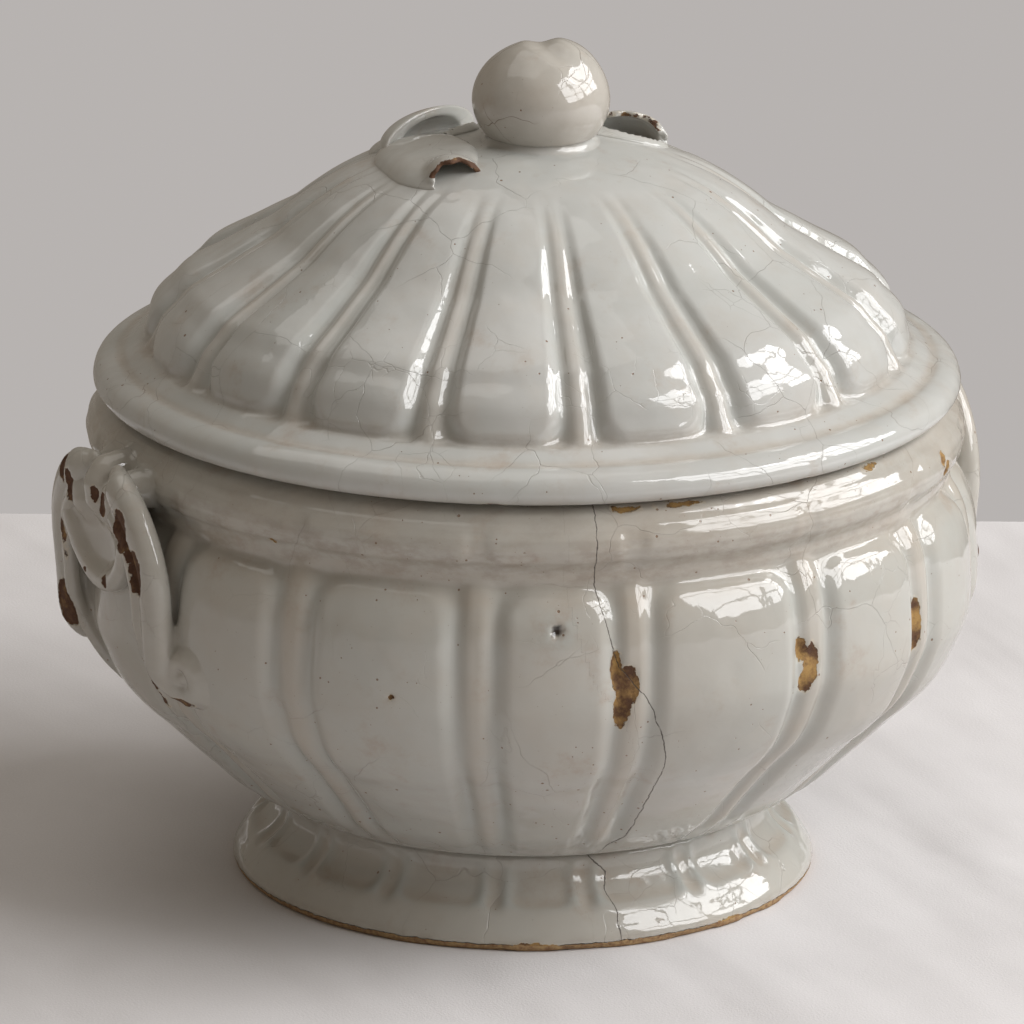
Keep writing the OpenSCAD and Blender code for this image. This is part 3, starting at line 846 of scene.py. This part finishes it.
class Handle:
    """One handle, worked out on the +x side; side is -1 for the left one."""

    def __init__(self, side, bow, lean, fan, chips):
        self.side, self.bow, self.lean = side, bow, math.tan(math.radians(lean))
        self.fan, self.chips = fan, chips

    def plane(self, z):
        """x of the arch's middle plane."""
        return self.bow + self.lean * np.maximum(z - ARCH_Z, 0) - 0.07 * np.maximum(ARCH_Z - z, 0)

    def arm_path(self):
        path = []
        for a in (74, 68, 62, 54, 46, 38, 30, 22, 14, 7, 0):
            z = ARCH_Z + ARCH_R * math.sin(math.radians(a))
            sink = 2.5 * float(ramp(60, 74, a))
            wide = 6.5 - 0.8 * sink
            path.append((self.plane(z) - sink, ARCH_R * math.cos(math.radians(a)), z, wide, wide - 1.7))
        for z, across in ((108, ARCH_R), (102, ARCH_R - 0.2), (96.5, ARCH_R)):
            path.append((self.plane(z), across, z, 6.2, 4.7))
        scroll = [
            (32.4, 91, 2.6, 5.4), (34.2, 86.5, 1.6, 4.9), (38.4, 83.8, 0.9, 4.4),
            (42.8, 85.4, 0.6, 4.0), (45.0, 89.8, 0.6, 3.6), (43.4, 94, 0.9, 3.3),
            (39.4, 95, 1.3, 3.0), (36.8, 92.2, 1.7, 2.8), (37.8, 89.2, 1.8, 2.6), (40.4, 89.6, 1.6, 2.3),
        ]
        path += [(belly_x(y, z) + lift, y, z, r, r) for y, z, lift, r in scroll]
        return smooth_line(path, 2.5)

    def ridge_path(self):
        path = []
        for a in (54, 40, 20, 0):
            z = ARCH_Z + RIDGE_R * math.sin(math.radians(a))
            path.append((self.plane(z) + 2.9, RIDGE_R * math.cos(math.radians(a)), z, 2.5, 2.5))
        path += [(self.plane(z) + 2.7, RIDGE_R, z, 2.5, 2.5) for z in (108, 101)]
        path += [(belly_x(y, z) + lift, y, z, r, r) for y, z, lift, r in (
            (25.3, 93, 3.0, 2.4), (24.4, 85, 1.8, 2.1), (22.6, 77, 0.9, 1.6), (20.6, 71, 0.0, 1.0))]
        return smooth_line(path, 3)

    def local(self, x, y, z):
        """Mirrored so that the handle is on the +x side."""
        return x * self.side, y, z

    def hurt(self, x, y, z):
        return blobs(*self.local(x, y, z), self.chips)

    def arm(self, front):
        arm_path, ridge_path = self.arm_path(), self.ridge_path()

        def field(x, y, z):
            u, v, w = self.local(x, y * front, z)
            shape = union(tube(u, v, w, arm_path), tube(u, v, w, ridge_path), 1.6)
            shape = shape + 0.8 * ramp(0.0, 1.2, self.hurt(x, y, z))
            return luted(shape, bowl_field(x, y, z), 3.4)
        return field

    def shell(self):
        flutes = []
        for turn in self.fan:
            path = []
            for out, back, r in ((16.5, -3.6, 3.0), (19.5, -1.8, 5.0), (23, -1.2, 6.2),
                                 (26.6, -1.8, 6.7), (29.4, -3.8, 6.7), (30.4, -8, 6.5), (30.2, -20, 6)):
                z = ARCH_Z + out * math.cos(math.radians(turn))
                across = out * math.sin(math.radians(turn))
                path.append((float(self.plane(z)) + back, across, z, r, r))
            flutes.append(smooth_line(path, 3))
        dish_z = ARCH_Z + 17.5

        def field(x, y, z):
            u, v, w = self.local(x, y, z)
            plane = self.plane(w)
            from_dish = np.hypot(v, w - dish_z)
            front = u - plane - 0.2 - from_dish ** 2 / 110
            dish = np.abs(front + 2) - 2
            dish = cut(dish, from_dish - 23.5, 2)
            dish = cut(dish, np.hypot(v, w - ARCH_Z) - 28.5, 2)
            lip_r = 3.7 * ramp(dish_z + 8, dish_z - 8, w) - 0.4
            lip = np.hypot(from_dish - 20.4, u - plane - 2.4) - lip_r
            shape = union(dish, lip, 2.5)
            ribs = None
            for path in flutes:
                one = tube(u, v, w, path)
                ribs = one if ribs is None else union(ribs, one, 1.2)
            shape = union(shape, ribs, 2.5)
            shape = shape + 0.8 * ramp(0.0, 1.2, self.hurt(x, y, z))
            return luted(shape, bowl_field(x, y, z), 2.6)
        return field


def sculpted(name, field, low, high, step, hurt, **made):
    """A piece modelled by hand, from its distance field."""
    points, quads = skin(field, low, high, step)
    marks = {"thin": 0.18, "dirt_and_shade": 0.15, "chip": hurt(*points.T)}
    return make_piece(name, points, quads, marks, **made)


LEFT_CHIPS = [
    ((150, 20, 144), (6, 2.6, 7)), ((149, 15, 137), (5, 2.2, 6)),
    ((150, -2.5, 139), (4, 1.6, 3)), ((149, -9.5, 138), (5, 2.6, 4)),
    ((149, -22, 133), (6, 4.2, 7)), ((148, -26, 127), (4, 2.2, 4)),
    ((147, -29.5, 121), (6, 4.0, 8)), ((144, -24, 99), (5, 2.2, 8)),
    ((141, -25, 88), (5, 1.8, 9)), ((137, -23, 77), (4, 1.6, 8)),
    ((137, -40, 81), (4, 6, 1.6)), ((150, 24, 118), (4, 1.6, 8)),
    ((144, 29, 94), (6, 5, 9)), ((148, -6, 112), (4, 2.0, 2.4)),
    ((149, 8, 112), (4, 1.1, 1.4)), ((151, 19, 114), (4, 1.4, 4)),
]
RIGHT_CHIPS = [
    ((142, -22, 134), (5, 2.4, 5)), ((145, -38, 91), (4, 4, 9)), ((146, -33, 101), (3, 3, 5)),
    ((144, 6, 145), (5, 3, 4)), ((143, 28, 116), (5, 2.6, 8)), ((140, -27, 128), (4, 3, 4)),
]
HANDLES = {
    "left": Handle(-1, 142, 7, (-23, 3, 32), LEFT_CHIPS),
    "right": Handle(1, 139, 2, (-27, 0, 27), RIGHT_CHIPS),
}
for which, handle in HANDLES.items():
    near, far = sorted((handle.side * 118, handle.side * 156))
    for place, front in (("front", -1), ("back", 1)):
        low_y, high_y = sorted((front * 1, front * 54))
        sculpted(f"{which}_{place}_arm", handle.arm(front), (near, low_y, 66), (far, high_y, 152),
                 0.75, handle.hurt, body="bowl_body", nodes=[f"{which}_handle_{place}_strap"],
                 slot="handle_glaze", material=mat_handle)
    sculpted(f"{which}_shell", handle.shell(), (near, -31, 100), (far, 31, 154),
             0.75, handle.hurt, body="bowl_body", nodes=[f"{which}_handle_shell"],
             slot="handle_glaze", material=mat_handle)


# ------------------------------------------------------------ knob and leaves
FRUIT = np.array([3.2, -1.6, 247.0])
FRUIT_HALF = np.array([21.4, 21.4, 18.2])
CLEFT = [(64, 60), (-117, 88), (-102, 78), (-85, 62), (-75, 51), (-74, 42)]


def direction(azimuth, elevation):
    a, e = math.radians(azimuth), math.radians(elevation)
    return np.array([math.cos(a) * math.cos(e), math.sin(a) * math.cos(e), math.sin(e)])


def fruit_field(x, y, z):
    """A peach-like fruit, with a cleft over its shoulder."""
    n = np.stack([(x - FRUIT[0]) / FRUIT_HALF[0], (y - FRUIT[1]) / FRUIT_HALF[1],
                  (z - FRUIT[2]) / FRUIT_HALF[2]])
    size = np.sqrt((n ** 2).sum(0))
    unit = n / np.maximum(size, 1e-6)
    away = np.full(size.shape, 9.0)
    for a, b in zip(CLEFT, CLEFT[1:]):
        pa, pb = direction(*a), direction(*b)
        t = sum((unit[i] - pa[i]) * (pb - pa)[i] for i in range(3)) / ((pb - pa) @ (pb - pa))
        t = np.clip(t, 0, 1)
        away = np.minimum(away, np.sqrt(sum((unit[i] - pa[i] - t * (pb - pa)[i]) ** 2 for i in range(3))))
    lobe = direction(-20, 66)
    raised = 1.6 * np.exp(-sum((unit[i] - lobe[i]) ** 2 for i in range(3)) / 0.25)
    end = direction(*CLEFT[-1])
    near_end = np.sqrt(sum((unit[i] - end[i]) ** 2 for i in range(3)))
    groove = 1.5 * ramp(0.28, 0.0, away) * (0.3 + 0.7 * ramp(0.1, 0.5, near_end))
    body = (size - 1) * 18.5 + groove - raised
    return np.maximum(body, 236.2 - z)


def collar_field(x, y, z):
    r = np.hypot(x - FRUIT[0], y - FRUIT[1])
    neck = np.maximum(r - 16.5, np.abs(z - 234) - 3.0)
    return luted(neck, lid_field(x, y, z), 3.2)


def no_chips(x, y, z):
    return -FAR


def to_outline(x, y, outline):
    """Signed distance to a closed outline, positive inside."""
    best = np.full(x.shape, 99.0)
    inside = np.zeros(x.shape, bool)
    for a, b in zip(outline, np.roll(outline, -1, 0)):
        d = b - a
        t = np.clip(((x - a[0]) * d[0] + (y - a[1]) * d[1]) / (d @ d), 0, 1)
        best = np.minimum(best, np.hypot(x - a[0] - t * d[0], y - a[1] - t * d[1]))
        crosses = ((a[1] > y) != (b[1] > y)) & (
            x < (b[0] - a[0]) * (y - a[1]) / (b[1] - a[1] + 1e-9) + a[0])
        inside ^= crosses
    return np.where(inside, best, -best)


class Leaf:
    """A leaf pressed onto the lid, with one edge curled up into a hood.

    The hood is a hollow ellipsoid with half sizes half, cut off at open_at mm from
    its centre along the azimuth opens. Its cut edge is broken to the clay by
    broken mm, or whole where broken is -FAR."""

    def __init__(self, outline, thick, hood, half, opens, open_at, wall, broken):
        self.outline = closed_line(outline, 3)
        self.thick, self.hood, self.half = thick, np.array(hood, float), half
        self.opens, self.open_at = math.radians(opens), open_at
        self.wall, self.broken = wall, broken

    def hood_parts(self, x, y, z):
        ox, oy = math.cos(self.opens), math.sin(self.opens)
        dx, dy = x - self.hood[0], y - self.hood[1]
        ahead, aside = dx * ox + dy * oy, -dx * oy + dy * ox
        up = z - self.hood[2]
        size = np.sqrt((ahead / self.half[0]) ** 2 + (aside / self.half[1]) ** 2
                       + (up / self.half[2]) ** 2)
        ragged = 0.5 * np.sin(aside * 1.1) + 0.35 * np.sin(up * 1.7 + aside * 0.6)
        ragged = ragged * (self.broken > -FAR)
        return (size - 1) * min(self.half), ahead - self.open_at + ragged

    def field(self, x, y, z):
        above = lid_field(x, y, z)
        inside = to_outline(x, y, self.outline)
        pillow = above - self.thick * (1 - np.exp(-np.maximum(inside, 0) / 2.2)) + 0.05
        pillow = np.maximum(pillow, -inside * 0.9 + 0.3)
        dome, opening = self.hood_parts(x, y, z)
        hood = cut(np.abs(dome) - self.wall, opening, 0.8)
        pillow = np.maximum(pillow, -(dome + self.wall * 0.5))
        shape = union(pillow, hood, 1.2)
        knob = 17.2 - np.hypot(x - FRUIT[0], y - FRUIT[1])
        return np.maximum(np.maximum(shape, knob), -(above + 1.2))

    def hurt(self, x, y, z):
        dome, opening = self.hood_parts(x, y, z)
        near = (np.abs(dome) < self.wall * 2) & (np.abs(opening) < 1.2) & (z > self.hood[2] + 2.5)
        return np.where(near & (self.broken > -FAR), self.broken + opening, -FAR)


LEAVES = {
    "front": Leaf([(-18, 4), (-20, -5), (-25, -15), (-32, -23), (-40, -22), (-45, -17), (-48, -8),
                   (-47, 6), (-43, 22), (-34, 33), (-26, 28), (-19, 15)],
                  2.6, (-34, -16, 228.2), (11.5, 8.4, 7.6), -100, 3.2, 0.7, 0.9),
    "back": Leaf([(-20, 16), (-32, 24), (-38, 34), (-32, 46), (-18, 52), (-4, 46), (-2, 30), (-9, 18)],
                 2.4, (-14.5, 29.5, 228), (15, 22, 8.8), -62, -5.5, 1.4, -FAR),
    "right": Leaf([(19, -3), (22, 8), (30, 14), (40, 13), (47, 4), (46, -6), (38, -10), (28, -8)],
                  2.2, (33.5, 2.5, 229), (10, 13.5, 8.8), -110, -1.0, 0.9, 0.1),
}

sculpted("knob_fruit_piece", fruit_field, (-21, -26, 234), (27, 22, 268), 0.8, no_chips,
         body="lid_body", nodes=["knob_fruit"], slot="fruit_glaze", material=mat_fruit)
sculpted("knob_collar_piece", collar_field, (-24, -28, 229), (30, 26, 239), 0.7, no_chips,
         body="lid_body", nodes=["knob_collar"], slot="lid_glaze", material=mat_lid)
for which, leaf in LEAVES.items():
    corner_low, corner_high = leaf.outline.min(0) - 6, leaf.outline.max(0) + 6
    sculpted(f"leaf_{which}_piece", leaf.field, (*corner_low, 216), (*corner_high, 244), 0.6,
             leaf.hurt, body="lid_body", nodes=[f"leaf_{which}"], slot="leaf_glaze", material=mat_leaf)


# ---------------------------------------------------------------- floor, room
VIEW_TURN = math.radians(26.55)  # the tureen is seen this far round from square on
RIGHT = Vector((math.cos(VIEW_TURN), -math.sin(VIEW_TURN), 0))
AWAY = Vector((math.sin(VIEW_TURN), math.cos(VIEW_TURN), 0))
UP = Vector((0, 0, 1))
FLOOR_HALF, FLOOR_BACK = 3, 0.361  # half width, and how far back the table ends


def at(right, away, up):
    """A place in metres: right and away as the camera sees them, and up."""
    return RIGHT * right + AWAY * away + UP * up


def cloth():
    """A pale table cloth with faint creases."""
    s = Shader("table_cloth")
    tone = s.noise(160, 4, 0.55)
    weave = s.noise(0.9, 2, 0.6)
    colour = s.mix(s.ramp(tone, 0.3, 0.7), (0.67, 0.65, 0.652, 1), (0.75, 0.73, 0.735, 1))
    colour = s.mix(s.times(s.ramp(weave, 0.35, 0.65), 0.10), colour, (0.55, 0.53, 0.52, 1))
    crease = s.noise(170, 2.5, 0.5, stretch=(1.8, 0.6, 1), twist=0.35)
    return s.finish(colour, 0.9, [(crease, 8.0), (weave, 0.10)], ior=1.3)


table = bpy.data.meshes.new("table")
corners = [at(-FLOOR_HALF, -FLOOR_HALF, 0), at(FLOOR_HALF, -FLOOR_HALF, 0),
           at(FLOOR_HALF, FLOOR_BACK, 0), at(-FLOOR_HALF, FLOOR_BACK, 0)]
table.from_pydata([tuple(c) for c in corners], [], [(0, 1, 2, 3)])
table.materials.append(cloth())
table_piece = bpy.data.objects.new("table", table)
bpy.context.scene.collection.objects.link(table_piece)

# The wall behind is plain and light; the room lights the tureen more dimly than that
world = bpy.data.worlds.new("room")
bpy.context.scene.world = world
world.use_nodes = True
wall = world.node_tree.nodes["Background"]
wall.inputs[0].default_value = (0.475, 0.450, 0.437, 1)
room_fill = world.node_tree.nodes.new("ShaderNodeBackground")
room_fill.inputs[0].default_value = (0.225, 0.198, 0.165, 1)
seen = world.node_tree.nodes.new("ShaderNodeLightPath")
choose = world.node_tree.nodes.new("ShaderNodeMixShader")
links = world.node_tree.links
links.new(seen.outputs["Is Camera Ray"], choose.inputs[0])
links.new(room_fill.outputs[0], choose.inputs[1])
links.new(wall.outputs[0], choose.inputs[2])
links.new(choose.outputs[0], world.node_tree.nodes["World Output"].inputs[0])


def area_light(name, place, target, width, height, power, colour):
    light = bpy.data.lights.new(name, "AREA")
    light.shape = "RECTANGLE"
    light.size, light.size_y = width, height
    light.energy = power
    light.color = colour
    lamp = bpy.data.objects.new(name, light)
    bpy.context.scene.collection.objects.link(lamp)
    aim = (target - place).to_track_quat("-Z", "Y")
    lamp.matrix_world = Matrix.LocRotScale(place, aim, None)


def window(name, azimuth, elevation, distance, width, height, power):
    """A window of two by three panes, its bars dark in the glaze.

    The azimuth is from the viewer, positive to the right."""
    target = Vector((0, 0, 0.12))
    a, e = math.radians(azimuth), math.radians(elevation)
    out = at(math.sin(a) * math.cos(e), -math.cos(a) * math.cos(e), math.sin(e))
    middle = target + out * distance
    across = out.cross(UP).normalized()
    up = across.cross(out)
    bar = 0.025 * distance
    pane_w, pane_h = (width - bar) / 2, (height - 2 * bar) / 3
    for i in range(2):
        for j in range(3):
            pane = middle + across * ((i - 0.5) * (pane_w + bar)) + up * ((j - 1) * (pane_h + bar))
            area_light(f"{name}_{i}_{j}", pane, pane - out, pane_w, pane_h,
                       power / 6, (0.985, 0.99, 1.0))


window("front_window", 64, 35, 2.4, 1.35, 1.75, 41)
window("side_window", 100, 33, 2.5, 1.2, 1.6, 37)
area_light("ceiling", at(-0.5, 0.4, 2.2), at(0, 0, 0.1), 1.8, 1.8, 7, (1.0, 0.97, 0.93))

# --------------------------------------------------------------------- camera
ELEVATION = math.radians(17.12)
ROLL = math.radians(0.46)
AIM = Vector((-0.0039, 0.00195, 0.1133))
DISTANCE = 2.794
camera_data = bpy.data.cameras.new("camera")
camera = bpy.data.objects.new("camera", camera_data)
bpy.context.scene.collection.objects.link(camera)
bpy.context.scene.camera = camera
camera_data.sensor_width = 36
camera_data.lens = 313.24
camera_data.clip_start, camera_data.clip_end = 0.1, 30
forward = AWAY * math.cos(ELEVATION) - UP * math.sin(ELEVATION)
image_up = AWAY * math.sin(ELEVATION) + UP * math.cos(ELEVATION)
right = RIGHT * math.cos(ROLL) + image_up * math.sin(ROLL)
up = image_up * math.cos(ROLL) - RIGHT * math.sin(ROLL)
turn = Matrix((right, up, -forward)).transposed()
camera.matrix_world = Matrix.Translation(AIM - forward * DISTANCE) @ turn.to_4x4()

bpy.context.scene.view_settings.view_transform = "Standard"
